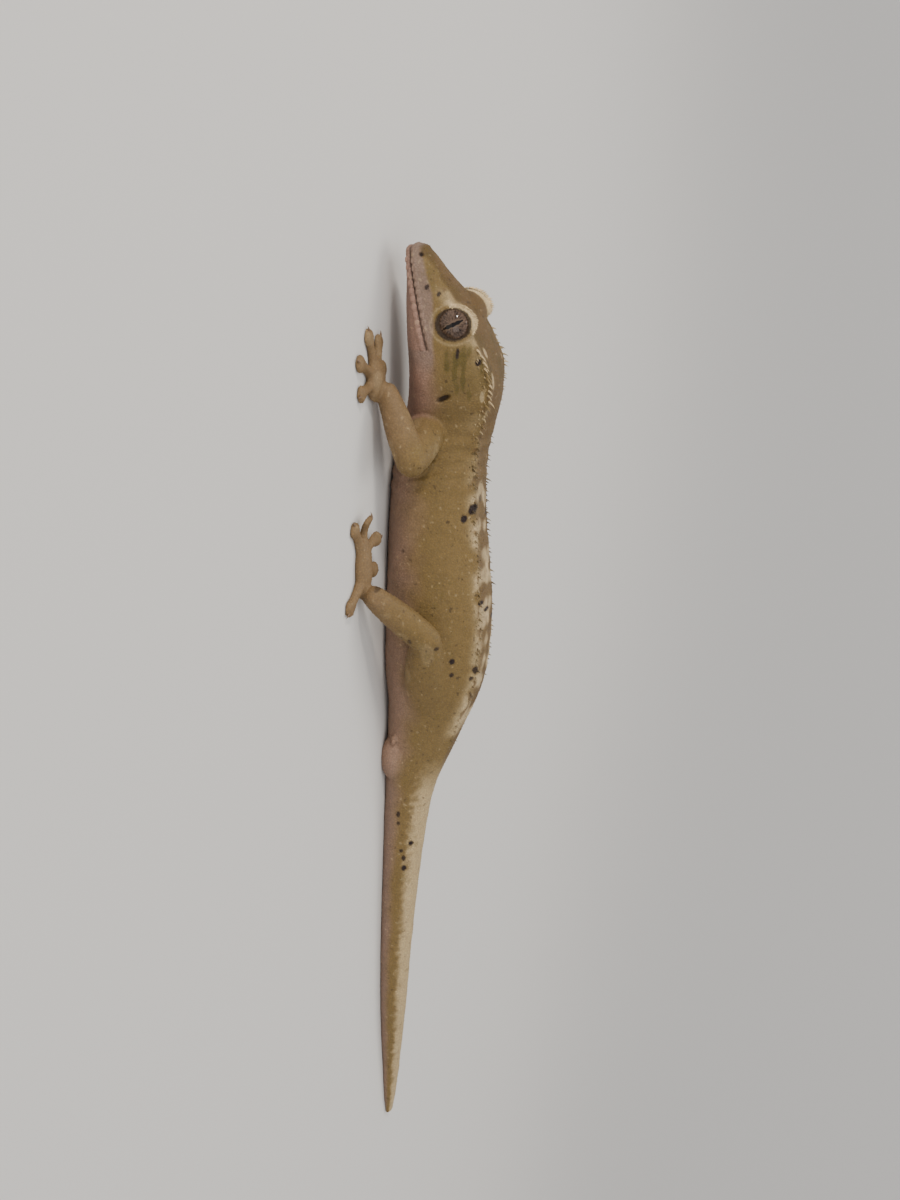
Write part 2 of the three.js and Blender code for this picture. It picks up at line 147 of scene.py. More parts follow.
# The spine from above, as many short steps
SPINE_S = np.linspace(TAIL_TIP - 2, SNOUT + 4, 1200)
SPINE_TURN = np.radians(at(HEADING, SPINE_S))
SPINE_X = np.concatenate([[0], np.cumsum(np.cos(SPINE_TURN[:-1]) * np.diff(SPINE_S))])
SPINE_Y = np.concatenate([[0], np.cumsum(np.sin(SPINE_TURN[:-1]) * np.diff(SPINE_S))])
SPINE_X -= np.interp(0, SPINE_S, SPINE_X)
SPINE_Y -= np.interp(0, SPINE_S, SPINE_Y)


def heading(s):
    """Direction of the spine from above, in radians."""
    return np.interp(s, SPINE_S, SPINE_TURN)


def beside(s, out, up):
    """Points beside the spine: out is to the animal's left."""
    s, out, up = np.broadcast_arrays(np.asarray(s, float), out, up)
    turn = heading(s)
    x = np.interp(s, SPINE_S, SPINE_X) - np.sin(turn) * out
    y = np.interp(s, SPINE_S, SPINE_Y) + np.cos(turn) * out
    return np.stack([x, y, up], -1)


def from_spine(points, s):
    """How far points in millimetres lie ahead of places on the spine and out from them."""
    turn = heading(s)
    dx = points[:, 0] - np.interp(s, SPINE_S, SPINE_X)
    dy = points[:, 1] - np.interp(s, SPINE_S, SPINE_Y)
    return dx * np.cos(turn) + dy * np.sin(turn), -dx * np.sin(turn) + dy * np.cos(turn)


def along_and_out(points):
    """The place along the spine and the distance out from it."""
    s = points[:, 0].copy()
    for _ in range(6):
        s = s + from_spine(points, s)[0]
    return s, from_spine(points, s)[1]


def power(value, exponent):
    """A power that keeps the sign."""
    return np.sign(value) * np.abs(value) ** exponent


def hump(value, width):
    """1 where the value is 0, falling softly away over the width."""
    return np.exp(-((value / width) ** 2))


def unit(vectors):
    """Vectors brought to a length of 1."""
    return vectors / np.linalg.norm(vectors, axis=-1, keepdims=True)


def crest_angle(s):
    """Angle round the body at which its crest stands."""
    return np.arccos(np.minimum(0.95, at(CREST_OUT, s) / at(HALF_WIDTH, s)))


def skin_point(s, angle):
    """Point of the body's surface at a place and at an angle round it, with 0 at the left and up positive."""
    width, side = at(HALF_WIDTH, s), at(SIDE_UP, s)
    flatness = at(FLATNESS, s)
    reach = np.where(np.sin(angle) > 0, at(TOP, s) - side, side - at(BOTTOM, s))
    up = side + power(np.sin(angle), 2 / flatness) * reach
    corner = crest_angle(s)
    off = np.minimum(np.abs(angle - corner), np.abs(np.pi - angle - corner))
    up = up + at(CREST_RISE, s) * np.exp(-off * off * CREST_SHARPNESS)
    return beside(s, power(np.cos(angle), 2 / flatness) * width, np.maximum(0, up))


# Closed surfaces, each a pair of vertices and faces
def loft(rings):
    """A closed skin over rings of points, given as an array of rings by points by 3."""
    count, sides = rings.shape[:2]
    vertices = np.concatenate([rings.reshape(-1, 3), rings[:1].mean(1), rings[-1:].mean(1)])
    faces = []
    k = np.arange(sides)
    k2 = (k + 1) % sides
    for r in range(count - 1):
        a, b = r * sides, (r + 1) * sides
        faces += np.stack([a + k, a + k2, b + k2, b + k], -1).tolist()
    first, last = count * sides, count * sides + 1
    faces += np.stack([k2, k, np.full(sides, first)], -1).tolist()
    end = (count - 1) * sides
    faces += np.stack([end + k, end + k2, np.full(sides, last)], -1).tolist()
    return vertices, faces


CAP_ANGLES = (30, 60, 90)  # where the rings of a tube's round end lie
CAP_POINT = 0.02  # share of the radius at the very end


def tube(path, radii, sides):
    """A round-ended tube along a path of points."""
    path = np.array(path, float)
    radii = np.broadcast_to(np.array(radii, float), len(path))
    tangent = unit(np.gradient(path, axis=0))
    across = unit(np.cross(tangent, [0.05, 0.02, 1.0]))
    above = np.cross(across, tangent)
    angle = np.linspace(0, 2 * np.pi, sides, endpoint=False)

    def ring(centre, size, k):
        return centre + size * (np.cos(angle)[:, None] * across[k] + np.sin(angle)[:, None] * above[k])

    rings = []
    for bulge in reversed(CAP_ANGLES):
        turn = np.radians(bulge)
        centre = path[0] - tangent[0] * radii[0] * np.sin(turn)
        rings.append(ring(centre, radii[0] * max(np.cos(turn), CAP_POINT), 0))
    rings += [ring(path[k], radii[k], k) for k in range(len(path))]
    for bulge in CAP_ANGLES:
        turn = np.radians(bulge)
        centre = path[-1] + tangent[-1] * radii[-1] * np.sin(turn)
        rings.append(ring(centre, radii[-1] * max(np.cos(turn), CAP_POINT), -1))
    return loft(np.array(rings))


ELLIPSOID_RINGS, ELLIPSOID_SIDES = 18, 24


def ellipsoid(centre, radii, turn=0.0):
    """An ellipsoid turned about the upright."""
    around = np.linspace(0, 2 * np.pi, ELLIPSOID_SIDES, endpoint=False)
    down = np.linspace(0.03, np.pi - 0.03, ELLIPSOID_RINGS)
    x = np.cos(down)[:, None] * np.ones(ELLIPSOID_SIDES) * radii[0]
    y = np.sin(down)[:, None] * np.cos(around) * radii[1]
    z = np.sin(down)[:, None] * np.sin(around) * radii[2]
    c, s = np.cos(turn), np.sin(turn)
    return loft(np.stack([x * c - y * s, x * s + y * c, z], -1) + np.array(centre, float))


def join(shapes):
    """Several surfaces as one."""
    vertices, faces, start = [], [], 0
    for v, f in shapes:
        vertices.append(v)
        faces += [[i + start for i in face] for face in f]
        start += len(v)
    return np.concatenate(vertices), faces


def make_object(name, vertices, faces):
    """An object from vertices in millimetres."""
    mesh = bpy.data.meshes.new(name)
    mesh.from_pydata((np.asarray(vertices) * MM).tolist(), [], faces)
    mesh.validate()
    return add(name, mesh)


def smooth_step(low, high, value):
    """0 below low, 1 above high and smooth between."""
    t = np.clip((value - low) / (high - low), 0, 1)
    return t * t * (3 - 2 * t)


# Limbs, at the same places as in the solids. A toe runs from its root to its tip, both measured forwards and
# outwards from the middle of the palm, and a third number is how far the tip is lifted.
ARMS = {
    "left": dict(side=1, turn=0, root=(27, 6.5, 9.5), bend=(20.5, 20.5, 9.6), end=(34.8, 18.5, 3.4),
                 palm=(37.6, 19.8, 0)),
    "right": dict(side=-1, turn=-22, root=(24, -6.5, 9.5), bend=(14.5, -20, 9.2), end=(26.6, -21, 3.4),
                  palm=(29.5, -22.4, 0)),
}
LEGS = {
    "left": dict(side=1, turn=0, root=(-38.5, 5, 9.5), bend=(-19.3, 17.8, 13.2), end=(-8.4, 26.8, 3.8),
                 palm=(-2.2, 26.6, 0)),
    "right": dict(side=-1, turn=-20, root=(-40.5, -5, 9.5), bend=(-26, -19, 12.6), end=(-22, -29, 3.8),
                  palm=(-16.5, -30.5, 0)),
}
ARM_RADIUS = (4.4, 3.3, 2.3)
LEG_RADIUS = (5.2, 3.3, 2.6)
HAND = {
    "size": (4.8, 4.1, 3.0),
    "toes": [
        ((0.5, -1.5), (2.4, -8.0)),
        ((1.8, -1.2), (9.4, -4.2)),
        ((2.4, 0.4), (10.6, 4.2)),
        ((1.2, 1.8), (4.4, 10.8)),
        ((-0.8, 1.8), (-3.0, 9.6)),
    ],
}
FOOT = {
    "size": (7.0, 3.1, 3.0),
    "toes": [
        ((0.0, -1.4), (-2.0, -8.0, 1.2)),
        ((3.4, -1.6), (5.8, -7.8, 2.0)),
        ((5.0, -0.2), (11.8, 0.8, 2.4)),
        ((4.2, 1.2), (10.4, 5.4)),
        ((-3.4, 1.6), (-8.4, 8.8)),
    ],
}
TOE_HALF_WIDTH = [(0, 1.5), (0.3, 1.05), (0.55, 1.15), (0.8, 1.95), (0.93, 1.45), (1, 0.55)]
TOE_HEIGHT = [(0, 2.3), (0.3, 1.8), (0.55, 1.55), (0.8, 1.5), (0.93, 1.3), (1, 0.9)]
MUSCLE = 0.12  # swelling in the middle of a length of limb, as a share of its first radius
PALM_RISE, PALM_HALF = 0.38, 0.62  # the palm's middle and half its depth, as shares of its height
TOE_GAP = 0.02  # least height of a toe over the ground


def limb_shapes(place, radius):
    """Upper and lower length of a limb as round-ended tubes with a belly of muscle."""
    root, bend, end = (np.array(place[k], float) for k in ("root", "bend", "end"))
    shapes = []
    for start, stop, r0, r1 in ((root, bend, radius[0], radius[1]), (bend, end, radius[1], radius[2])):
        t = np.linspace(0, 1, 14)
        path = start + (stop - start) * t[:, None]
        radii = r0 + (r1 - r0) * t + r0 * MUSCLE * np.sin(np.pi * t)
        shapes.append(tube(path, radii, 24))
    return shapes


def paw_places(plan, place):
    """Root and tip of each toe."""
    turn = np.radians(place["turn"])
    ahead = np.array([np.cos(turn), np.sin(turn), 0])
    out = np.array([-np.sin(turn), np.cos(turn), 0]) * place["side"]
    palm = np.array(place["palm"], float)

    def spot(f, o, lift=0):
        return palm + ahead * f + out * o + np.array([0, 0, lift])

    return [(spot(*root), spot(*tip)) for root, tip in plan["toes"]]


def toe_shape(root, tip):
    """A toe that widens to a pad and lies flat on the ground."""
    axis = (tip - root) * np.array([1, 1, 0])
    across = unit(np.array([-axis[1], axis[0], 0]))
    t = 1 - (1 - np.linspace(0, 1, 26)) ** 1.25
    angle = np.linspace(0, 2 * np.pi, 20, endpoint=False)
    height = at(TOE_HEIGHT, t)[:, None]
    end = np.sqrt(np.clip(1 - np.clip((t - 0.9) / 0.115, 0, 1) ** 2, 0.02, 1))[:, None]
    up = height * end * (1.3 * (0.5 + 0.5 * np.sin(angle)) - 0.3)
    wide = np.cos(angle) * at(TOE_HALF_WIDTH, t)[:, None] * (0.35 + 0.65 * end)
    rings = root + axis * t[:, None, None] + across * wide[..., None]
    rings[..., 2] = np.maximum(TOE_GAP, up) + tip[2] * (t * t)[:, None]
    return loft(rings)


def paw_shapes(plan, place):
    """Palm and toes."""
    length, width, height = plan["size"]
    palm = (place["palm"][0], place["palm"][1], height * PALM_RISE)
    shapes = [ellipsoid(palm, (length, width, height * PALM_HALF), np.radians(place["turn"]))]
    return shapes + [toe_shape(root, tip) for root, tip in paw_places(plan, place)]


# Eyes: where they sit and how far ahead and up they look, the ring of the lids, and the flesh behind
EYE = {"along": 51.6, "out": 6.2, "up": 15.9, "radius": 3.8, "look_ahead": 0.22, "look_up": 0.16}
LID = {"radius": 4.0, "thickness": 0.65, "offset": 1.5, "narrow": 0.88, "brow": 0.35}
SOCKET = {"radius": 4.95, "depth": 2}


def eye_frame(side):
    """Centre of an eye and the directions it looks in, forwards and upwards."""
    turn = float(heading(EYE["along"]))
    ahead = Vector((np.cos(turn), np.sin(turn), 0))
    out = Vector((-np.sin(turn) * side, np.cos(turn) * side, 0))
    look = out + ahead * EYE["look_ahead"]
    look.z = EYE["look_up"]
    look.normalize()
    forward = (ahead - look * ahead.dot(look)).normalized()
    upward = Vector((0, 0, 1)) - look * look.z
    upward = (upward - forward * upward.dot(forward)).normalized()
    centre = Vector(beside(EYE["along"], EYE["out"] * side, EYE["up"]))
    return [np.array(v) for v in (centre, look, forward, upward)]


def lid_shape(side):
    """The ring of the lids, thicker above, where it makes the brow."""
    centre, look, forward, upward = eye_frame(side)
    middle = centre + look * LID["offset"]
    around = np.linspace(0, 2 * np.pi, 72, endpoint=False)
    ring = np.linspace(0, 2 * np.pi, 14, endpoint=False)
    vertices, faces = [], []
    for a in around:
        spoke = forward * np.cos(a) * LID["narrow"] + upward * np.sin(a)
        thick = LID["thickness"] * (1 + LID["brow"] * max(0.0, np.sin(a)))
        for b in ring:
            vertices.append(middle + spoke * (LID["radius"] + thick * np.cos(b)) + look * thick * np.sin(b))
    m, n = len(around), len(ring)
    for i in range(m):
        for j in range(n):
            i2, j2 = (i + 1) % m, (j + 1) % n
            faces.append([i * n + j, i2 * n + j, i2 * n + j2, i * n + j2])
    return np.array(vertices), faces


# Mouth: the place and height of its corner, its height at the snout, and how far it sags between them
MOUTH_CORNER = (47.3, 10.6)
SNOUT_MOUTH_UP = 5.6
MOUTH_SAG = 0.2


def mouth_up(s):
    """Height of the mouth line."""
    share = (SNOUT - np.asarray(s, float)) / (SNOUT - MOUTH_CORNER[0])
    return SNOUT_MOUTH_UP + (MOUTH_CORNER[1] - SNOUT_MOUTH_UP) * share - MOUTH_SAG * np.sin(np.pi * share)


# The swellings behind the vent of a male, and a spur beside each: places along, out and up, and sizes
BULGE = (-53, 3.7, 2.7)
BULGE_RADII = (5.6, 4.0, 3.4)
SPUR = (-47.5, 6.4, 3.2)
SPUR_REACH = (-0.6, 0.9, 0.1)
SPUR_RADII = [0.9, 0.6]
NOSE_STEPS = (0.35, 0.7, 0.9, 1.0)  # places of the rings that round off the snout


def skin_shapes():
    """Every shape that the skin wraps."""
    s = np.concatenate([np.linspace(TAIL_TIP, 60, 430), np.linspace(60.3, SNOUT, 20)])
    angle = np.linspace(0, 2 * np.pi, 144, endpoint=False)
    angle = np.where(angle > np.pi * 1.5, angle - 2 * np.pi, angle)
    rings = np.array([skin_point(np.full(len(angle), k), angle) for k in s])
    nose = []
    centre = rings[-1].mean(0)
    for t in NOSE_STEPS:
        size = np.sqrt(1 - t * t) if t < 1 else 0.05
        shrunk = centre + (rings[-1] - centre) * size
        nose.append(shrunk + beside(SNOUT + 1, 0, 0) * t - beside(SNOUT, 0, 0) * t)
    shapes = [loft(np.concatenate([rings, nose]))]
    for side in (1, -1):
        shapes.append(lid_shape(side))
        centre, look, _, _ = eye_frame(side)
        shapes.append(ellipsoid(centre - look * SOCKET["depth"], [SOCKET["radius"]] * 3))
        shapes.append(ellipsoid(beside(BULGE[0], BULGE[1] * side, BULGE[2]), BULGE_RADII))
        spur = beside(SPUR[0], SPUR[1] * side, SPUR[2])
        shapes.append(tube([spur, spur + np.array(SPUR_REACH) * [1, side, 1]], SPUR_RADII, 12))
    for places, radius, plan in ((ARMS, ARM_RADIUS, HAND), (LEGS, LEG_RADIUS, FOOT)):
        for place in places.values():
            shapes += limb_shapes(place, radius) + paw_shapes(plan, place)
    return shapes


VOXEL = 0.3
SMOOTHING = 6  # rounds


def make_skin():
    """One closed skin over all the flesh."""
    rough = make_object("skin_rough", *join(skin_shapes()))
    remesh = rough.modifiers.new("remesh", "REMESH")
    remesh.mode = "VOXEL"
    remesh.voxel_size = VOXEL * MM
    soften = rough.modifiers.new("soften", "SMOOTH")
    soften.factor = 0.5
    soften.iterations = SMOOTHING
    evaluated = rough.evaluated_get(bpy.context.evaluated_depsgraph_get())
    mesh = bpy.data.meshes.new_from_object(evaluated)
    mesh.name = "skin"
    bpy.data.objects.remove(rough)
    return add("skin", mesh)


def points_and_normals(mesh):
    """Vertices in millimetres, and their normals."""
    both = []
    for kind in ("co", "normal"):
        values = np.empty(len(mesh.vertices) * 3, np.float32)
        mesh.vertices.foreach_get(kind, values)
        both.append(values.reshape(-1, 3).astype(float))
    return both[0] / MM, both[1]


def noise_at(points, size, seed):
    """Soft noise from -1 to 1 whose lumps are of about that size in millimetres."""
    shift = Vector((seed * 7.3, seed * 3.1, seed * 5.7))
    return np.array([noise.noise(Vector(p) + shift) for p in points / size])


# Nostrils, ears, lips and the line of the mouth
NOSTRIL = {"along": SNOUT - 0.7, "out": 3.0, "up": 8.2, "radius": 0.65, "depth": 0.7}
EAR = {"along": 36.1, "up": 14.2, "length": 1.9, "height": 0.75, "lean": 62, "depth": 0.9}
LIP = {"away": 0.85, "half": 0.55, "rise": 0.22}
GROOVE = {"half": 0.3, "depth": 0.42}
# Folds of the loose skin
THROAT_FOLD = 0.16
FLANK_WRINKLE = 0.16
ARMPIT_CREASE = {"along": 15.6, "half": 0.7, "depth": 0.5}
SKIN_GAP = 0.03  # least height of the skin over the ground


def pit_shares(s, out, up):
    """How deep each point is in a nostril and in an ear, from 0 to 1."""
    nostril = np.hypot(s - NOSTRIL["along"], np.hypot(np.abs(out) - NOSTRIL["out"], up - NOSTRIL["up"]))
    lean = np.radians(EAR["lean"])
    da, du = s - EAR["along"], up - EAR["up"]
    ear_along = da * np.cos(lean) + du * np.sin(lean)
    ear_across = -da * np.sin(lean) + du * np.cos(lean)
    ear = np.hypot(ear_along / EAR["length"], ear_across / EAR["height"])
    ear = np.where(np.abs(out) > 6, ear, 9)
    return 1 - smooth_step(0.3, 1.3, nostril / NOSTRIL["radius"]), 1 - smooth_step(0.45, 1.15, ear)


def mouth_distance(s, up):
    """Signed height over the mouth line, large outside its length."""
    away = up - mouth_up(s)
    return np.where(s > MOUTH_CORNER[0] - 0.5, away, 99)


def shape_skin(skin):
    """Lips, nostrils, ears and the folds of the loose skin."""
    points, normals = points_and_normals(skin.data)
    s, out = along_and_out(points)
    up = points[:, 2]
    body = np.abs(out) < at(HALF_WIDTH, s) + 0.8
    head = body & (s > 28)
    move = np.zeros(len(points))
    off = mouth_distance(s, up)
    groove = hump(off, GROOVE["half"]) * GROOVE["depth"]
    lips = hump(np.abs(off) - LIP["away"], LIP["half"]) * LIP["rise"]
    move += np.where(head, lips - groove, 0)
    nostril, ear = pit_shares(s, out, up)
    move -= np.where(head, nostril * NOSTRIL["depth"] + ear * EAR["depth"], 0)
    fold = np.sin(s * 1.7 + 3.6 * noise_at(points, 9, 1))
    throat = smooth_step(30, 14, up) * smooth_step(8, 14, s) * smooth_step(34, 22, s)
    loose = THROAT_FOLD * fold * throat
    crease = hump(s - ARMPIT_CREASE["along"] - 0.25 * (up - 8), ARMPIT_CREASE["half"])
    crease *= smooth_step(14, 9, up) * smooth_step(3, 6, up)
    flank = smooth_step(-36, -28, s) * smooth_step(12, 4, s)
    wrinkle = noise_at(points * np.array([1.0, 0.6, 0.45]), 2.6, 2) * FLANK_WRINKLE * flank
    move += np.where(body, loose - crease * ARMPIT_CREASE["depth"] + wrinkle, 0)
    uneven = np.where(s > 26, 0.06, 0.12)  # the head is smoother than the rest
    move += noise_at(points, 1.3, 3) * 0.05 + noise_at(points, 4.5, 4) * uneven
    points += normals * move[:, None]
    points[:, 2] = np.maximum(points[:, 2], SKIN_GAP)
    skin.data.vertices.foreach_set("co", (points * MM).astype(np.float32).ravel())
    skin.data.update()
    skin.data.shade_smooth()


# Colours, as linear red, green and blue
BELLY = (0.27, 0.165, 0.112)
FLANK = (0.178, 0.114, 0.038)
BACK = (0.120, 0.068, 0.026)
CREAM = (0.66, 0.50, 0.28)
DARK = (0.016, 0.007, 0.005)
OLIVE = (0.095, 0.068, 0.014)
PINK = (0.29, 0.160, 0.115)
MAUVE = (0.225, 0.150, 0.115)
CHEEK_TOP = [(46, 12.4), (57, 11.6), (66, 8.4)]  # height of the cheek's paler band along the head

# Dark marks: place along the spine, out from it and up, then half length, half height and strength
MARKS = [
    (8.6, 6.3, 20.1, 1.3, 0.9, 1.0), (6.6, 8.2, 18.6, 0.9, 0.6, 1.0), (10.8, 3.5, 21.3, 1.2, 0.5, 0.9),
    (-12.9, 5.8, 22.7, 0.6, 0.45, 1.0), (-14.9, 3.4, 23.5, 0.6, 0.45, 1.0), (-26, 10.6, 17.8, 0.75, 0.6, 1.0),
    (-29.3, 10.2, 17.5, 0.6, 0.5, 0.9), (-28.9, 6.0, 22.1, 0.9, 0.5, 0.9), (-30.6, 6.6, 21.4, 0.6, 0.5, 0.9),
    (-21.4, 17.3, 15.9, 0.5, 0.45, 0.8), (-19.3, 21.7, 10.7, 0.6, 0.5, 0.7), (-7.2, 26.9, 4.6, 0.9, 0.7, 0.6),
    (-1.1, 12.0, 5.8, 0.4, 0.4, 0.6), (6.0, 10.8, 15.6, 0.4, 0.4, 0.6), (46.1, 9.9, 17.3, 1.2, 0.4, 0.95),
    (44.0, 8.5, 21.5, 0.75, 0.7, 1.0), (59.3, 6.3, 10.1, 0.5, 0.45, 0.9), (57.8, 6.1, 12.6, 0.5, 0.45, 0.9),
    (-67.0, 5.0, 4.3, 0.8, 0.5, 0.9), (-69.5, 4.8, 4.3, 0.6, 0.45, 0.8), (-74.5, 3.9, 7.4, 0.6, 0.6, 1.0),
    (-76.5, 4.5, 5.2, 0.5, 0.4, 0.9), (-78.5, 4.3, 5.9, 0.7, 0.5, 0.9), (-81.0, 4.1, 5.9, 0.8, 0.5, 1.0),
]
# Olive streaks behind the eye, and cream ones on the crown and the nape, given in the same way
STREAKS = [
    (42.6, 10.9, 16.8, 2.8, 0.55, 0.8), (40.6, 10.4, 18.5, 2.4, 0.5, 0.8), (44.6, 10.6, 15.0, 2.2, 0.5, 0.7),
    (38.4, 10.6, 17.2, 1.6, 0.5, 0.6), (36.8, 9.6, 19.6, 1.8, 0.5, 0.6), (46.4, 9.6, 18.6, 1.4, 0.5, 0.6),
]
PALE_STREAKS = [
    (45.8, 4.8, 22.4, 2.2, 0.7, 0.6), (38.9, 5.4, 24.0, 1.7, 0.7, 0.6), (36.1, 8.3, 22.2, 1.6, 0.5, 0.45),
    (30.5, 6.6, 22.9, 1.4, 0.7, 0.4),
]
FAR_SLIDE = 3.7  # most that a mark on the right is moved along, so that the sides differ


def limb_share(points):
    """1 on the limbs and 0 on the body."""
    s, out = along_and_out(points)
    beyond = smooth_step(0.3, 2.2, np.abs(out) - at(HALF_WIDTH, s)) * smooth_step(-47, -44, s)
    below = smooth_step(0.2, -0.4, points[:, 2] - at(BOTTOM, s)) * smooth_step(28, 31, s)
    return np.maximum(beyond, below)


def mix(colour, target, amount):
    """Colours moved towards a target by a share from 0 to 1 for each."""
    return colour + (np.array(target) - colour) * np.clip(amount, 0, 1)[:, None]


def blend_marks(blend, s, out, up, fine):
    """Dark marks and streaks on both sides."""
    for tone, marks, wide in ((OLIVE, STREAKS, 2.2), (CREAM, PALE_STREAKS, 0.5), (DARK, MARKS, 2.2)):
        for along, aside, height, length, tall, strength in marks:
            for side, slide in ((1, 0), (-1, FAR_SLIDE * np.sin(along))):
                near = np.hypot((s - along - slide) / length, (up - height) / tall)
                near = np.hypot(near, (out * side - aside) / wide) + 0.35 * fine
                blend(tone, smooth_step(1.25, 0.75, near) * strength)


def blend_lids(blend, points):
    """A pale patch ahead of and over each eye, and a dark edge to its lids."""
    for side in (1, -1):
        centre, look, forward, upward = eye_frame(side)
        away = points - centre
        a, b = away @ forward, away @ upward
        flat = np.hypot(a / LID["narrow"], b)
        facing = smooth_step(0.2, 0.9, away @ look)
        blend(CREAM, facing * smooth_step(6.2, 5.5, flat) * smooth_step(1.0, 3.0, 0.66 * a + 0.75 * b) * 0.9)
        blend(CREAM, facing * hump(flat - 4.9, 0.3) * 0.2)
        blend(DARK, facing * smooth_step(4.2, 3.8, flat) * 0.88)


def colours(points):
    """Colour of the skin at points in millimetres, built up from the ground colour in layers."""
    s, out = along_and_out(points)
    up = points[:, 2]
    top, bottom = at(TOP, s), at(BOTTOM, s)
    share = (up - bottom) / (top - bottom)
    limb = limb_share(points)
    body = 1 - limb
    soft = noise_at(points, 5, 11)
    fine = noise_at(points, 1.4, 12)
    speck = noise_at(points, 0.8, 13)
    patch = noise_at(points * np.array([1, 1, 0.6]), 4.2, 14)
    colour = mix(np.array(BELLY), FLANK, smooth_step(0.12, 0.55, share + 0.12 * soft))

    def blend(target, amount):
        nonlocal colour
        colour = mix(colour, target, amount)

    # The back between the crests, their pale rim and the dark dashes along it
    crest = at(CREST_OUT, s)
    inside = smooth_step(0.3, -0.9, np.abs(out) - crest) * smooth_step(0.55, 0.8, share) * body
    trunk = smooth_step(-50, -40, s) * smooth_step(18, 12, s)
    blend(BACK, inside * smooth_step(-66, -50, s) * (0.62 + 0.35 * soft))
    blend(CREAM, inside * trunk * smooth_step(-0.15, 0.25, patch) * (0.62 + 0.3 * fine))
    rim = hump(np.abs(out) - crest - 0.3, 1.3) * smooth_step(0.6, 0.8, share)
    rim *= smooth_step(-52, -40, s) * smooth_step(62, 58, s) * body
    rim *= 1 - 0.6 * smooth_step(12, 18, s) * smooth_step(46, 38, s)
    blend(CREAM, rim * smooth_step(-0.35, 0.25, patch) * (0.36 + 0.26 * smooth_step(18, 12, s) + 0.2 * fine))
    dash = smooth_step(0.16, 0.34, noise_at(points * np.array([0.75, 1, 1]), 1.7, 16))
    dash *= smooth_step(-46, -38, s) * hump(np.abs(out) - crest, 1.0)
    blend(BACK, dash * smooth_step(0.7, 0.85, share) * body * 0.85)
    # Tail, throat and limbs
    tail = smooth_step(-50, -64, s)
    blend(CREAM, tail * smooth_step(0.62, 0.86, share + 0.1 * fine) * 0.55)
    blend(PINK, smooth_step(20, 27, s) * smooth_step(0.5, 0.15, share) * 0.7 * body)
    blend(MAUVE, tail * smooth_step(0.5, 0.15, share) * 0.5)
    blend(FLANK, limb * 0.7)
    blend(CREAM, limb * smooth_step(0.25, 0.5, soft) * 0.12)
    # Cheek, lower lip, the streaked patch behind the eye, and the crown
    cheek_top = at(CHEEK_TOP, s)
    cheek = smooth_step(40, 46, s) * smooth_step(cheek_top + 0.4, cheek_top - 0.5, up + 0.5 * soft) * body
    blend(MAUVE, cheek * 0.85)
    blend(PINK, smooth_step(40, 46, s) * smooth_step(0.2, -0.4, mouth_distance(s, up)) * 0.55 * body)
    streak = smooth_step(0.12, 0.4, noise_at(points * np.array([0.4, 1, 1]), 1.7, 15))
    behind = smooth_step(36, 39, s) * smooth_step(49, 46, s) * smooth_step(13.5, 15.5, up) * body
    blend(OLIVE, behind * (0.25 + 0.6 * streak))
    crown = smooth_step(34, 42, s) * inside * smooth_step(0, 0.3, soft)
    blend(OLIVE, crown * 0.6)
    blend(BACK, inside * smooth_step(28, 40, s) * 0.45)
    # Mottling and specks all over, then the marks
    blend(OLIVE, smooth_step(0.3, 0.55, soft * 0.6 + fine * 0.5) * 0.35 * smooth_step(0.3, 0.7, share))
    blend(DARK, smooth_step(0.55, 0.64, speck) * 0.5 * smooth_step(0.1, 0.5, share))
    blend(CREAM, smooth_step(0.52, 0.64, -speck) * 0.2)
    blend_marks(blend, s, out, up, fine)
    # Nostrils, ears, the line of the mouth and the lids; the first three are darkened with painted shade
    nostril, ear = pit_shares(s, out, up)
    on_head = (s > 30) & (limb < 0.5)
    # painted shade: the nostril and ear pits darkened as if shadowed inside
    blend(DARK, np.where(on_head, nostril + 0.9 * ear, 0))
    # painted shade: a dark line along the groove of the mouth
    blend(DARK, np.where(on_head, hump(mouth_distance(s, up), 0.2), 0) * 0.8)
    blend_lids(blend, points)
    return np.clip(colour * (1 + 0.10 * fine)[:, None], 0, 1)


TINT = "tint"


def paint(mesh, values):
    """Store a colour for each vertex."""
    layer = mesh.color_attributes.new(TINT, "FLOAT_COLOR", "POINT")
    flat = np.concatenate([values, np.ones((len(values), 1))], 1).astype(np.float32)
    layer.data.foreach_set("color", flat.ravel())


# Materials. The grain is of fine cells, lower between them and darker there with painted shade.
GRAIN = {"size": 0.42, "depth": 0.12, "middle": 1.06, "edge": 0.78, "reach": 0.7, "strength": 0.55}
SCATTER = {"share": 0.08, "radius": (0.0012, 0.0006, 0.0003)}  # metres for red, green and blue
COAT_ROUGHNESS = 0.04


def put(node, values):
    """Set values on a node's own sockets."""
    for name, value in values.items():
        node.inputs[name].default_value = value


def tinted_material(name, roughness, gloss):
    """A material, its shader and the node that reads the stored colours."""
    material = bpy.data.materials.new(name)
    material.use_nodes = True
    shader = material.node_tree.nodes["Principled BSDF"]
    put(shader, {"Roughness": roughness, "Specular IOR Level": gloss})
    tint = material.node_tree.nodes.new("ShaderNodeAttribute")
    tint.attribute_name = TINT
    return material, shader, tint


